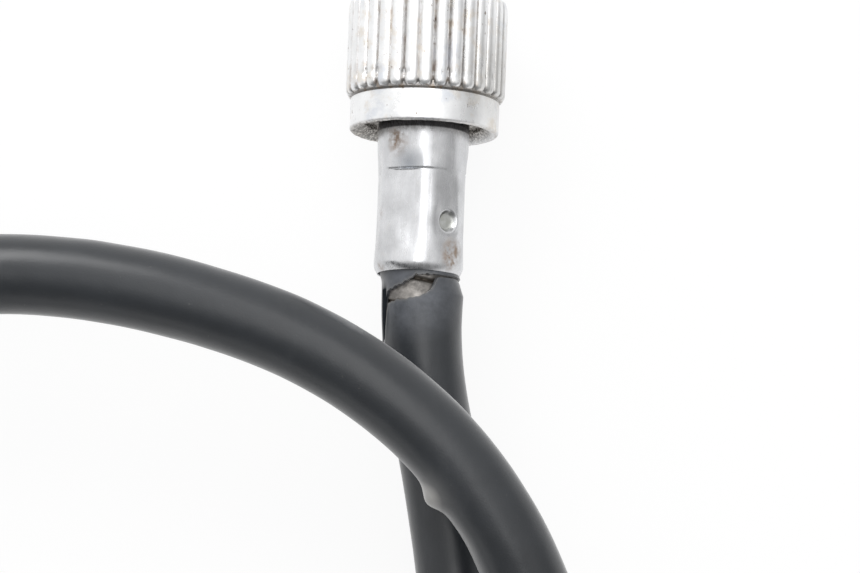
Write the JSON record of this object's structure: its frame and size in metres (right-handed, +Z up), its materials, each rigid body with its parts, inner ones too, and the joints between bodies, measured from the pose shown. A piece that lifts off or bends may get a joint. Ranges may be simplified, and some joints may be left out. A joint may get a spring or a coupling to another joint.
{
  "type": "instrument drive cable",
  "caption": "Flexible drive cable: a rotating core in a black sheathed conduit, with a knurled union nut and a crimped steel ferrule at each end.",
  "frame": {"origin": "centre of the gauge end's flange face, where its nose meets the instrument", "axes": "+Y out of the gauge end along its axis, +Z up from the floor that the cable lies on"},
  "size_m": [0.1254, 0.131, 0.0221],
  "materials": {
    "sheath_pvc": "satin black PVC",
    "nut_zinc": "die-cast, bright zinc plated, worn",
    "ferrule_steel": "drawn steel, zinc plated, lightly stained",
    "bush_bronze": "sintered bronze",
    "core_steel": "bright spring steel, oiled",
    "washer_steel": "plain steel",
    "seal_rubber": "black rubber",
    "conduit_steel": "wound galvanised strip, dulled",
    "liner_plastic": "natural plastic"
  },
  "bodies": {
    "casing": {"outer_sheath": "sheath_pvc", "gauge_ferrule": "ferrule_steel", "gauge_core_bush": "bush_bronze", "gauge_face_seal": "seal_rubber", "gauge_conduit": "conduit_steel", "gauge_liner": "liner_plastic", "drive_ferrule": "ferrule_steel", "drive_core_bush": "bush_bronze", "drive_face_seal": "seal_rubber", "drive_conduit": "conduit_steel", "drive_liner": "liner_plastic"},
    "gauge_washer": {"gauge_thrust_washer": "washer_steel"},
    "gauge_nut": {"gauge_union_nut": "nut_zinc"},
    "gauge_float_washer": {"gauge_core_washer": "core_steel"},
    "gauge_core": {"gauge_core": "core_steel", "gauge_core_collar": "core_steel"},
    "drive_washer": {"drive_thrust_washer": "washer_steel"},
    "drive_nut": {"drive_union_nut": "nut_zinc"},
    "drive_float_washer": {"drive_core_washer": "core_steel"},
    "drive_core": {"drive_core": "core_steel", "drive_core_collar": "core_steel"}
  },
  "joints": [
    {"name": "gauge_nut_slide", "type": "slide", "parent": "casing", "child": "gauge_washer", "axis": [0, 1, 0], "range_m": [-0.012, 0]},
    {"name": "gauge_nut_spin", "type": "hinge", "parent": "gauge_washer", "child": "gauge_nut", "pos_m": [0, 0, 0], "axis": [0, 1, 0], "continuous": true},
    {"name": "gauge_core_float", "type": "slide", "parent": "casing", "child": "gauge_float_washer", "axis": [0, 1, 0], "range_m": [0, 0.0015]},
    {"name": "gauge_core_spin", "type": "hinge", "parent": "gauge_float_washer", "child": "gauge_core", "pos_m": [0, 0, 0], "axis": [0, 1, 0], "continuous": true},
    {"name": "drive_nut_slide", "type": "slide", "parent": "casing", "child": "drive_washer", "axis": [0, 1, 0], "range_m": [-0.012, 0]},
    {"name": "drive_nut_spin", "type": "hinge", "parent": "drive_washer", "child": "drive_nut", "pos_m": [-0.098, -0.0272, 0], "axis": [0, 1, 0], "continuous": true},
    {"name": "drive_core_float", "type": "slide", "parent": "casing", "child": "drive_float_washer", "axis": [0, 1, 0], "range_m": [-0.0015, 0]},
    {"name": "drive_core_spin", "type": "hinge", "parent": "drive_float_washer", "child": "drive_core", "pos_m": [-0.098, -0.0272, 0], "axis": [0, 1, 0], "continuous": true}
  ],
  "couplings": [
    {"joint": "drive_core_spin", "follows": "gauge_core_spin", "ratio": -1},
    {"joint": "drive_core_float", "follows": "gauge_core_float", "ratio": -1}
  ]
}
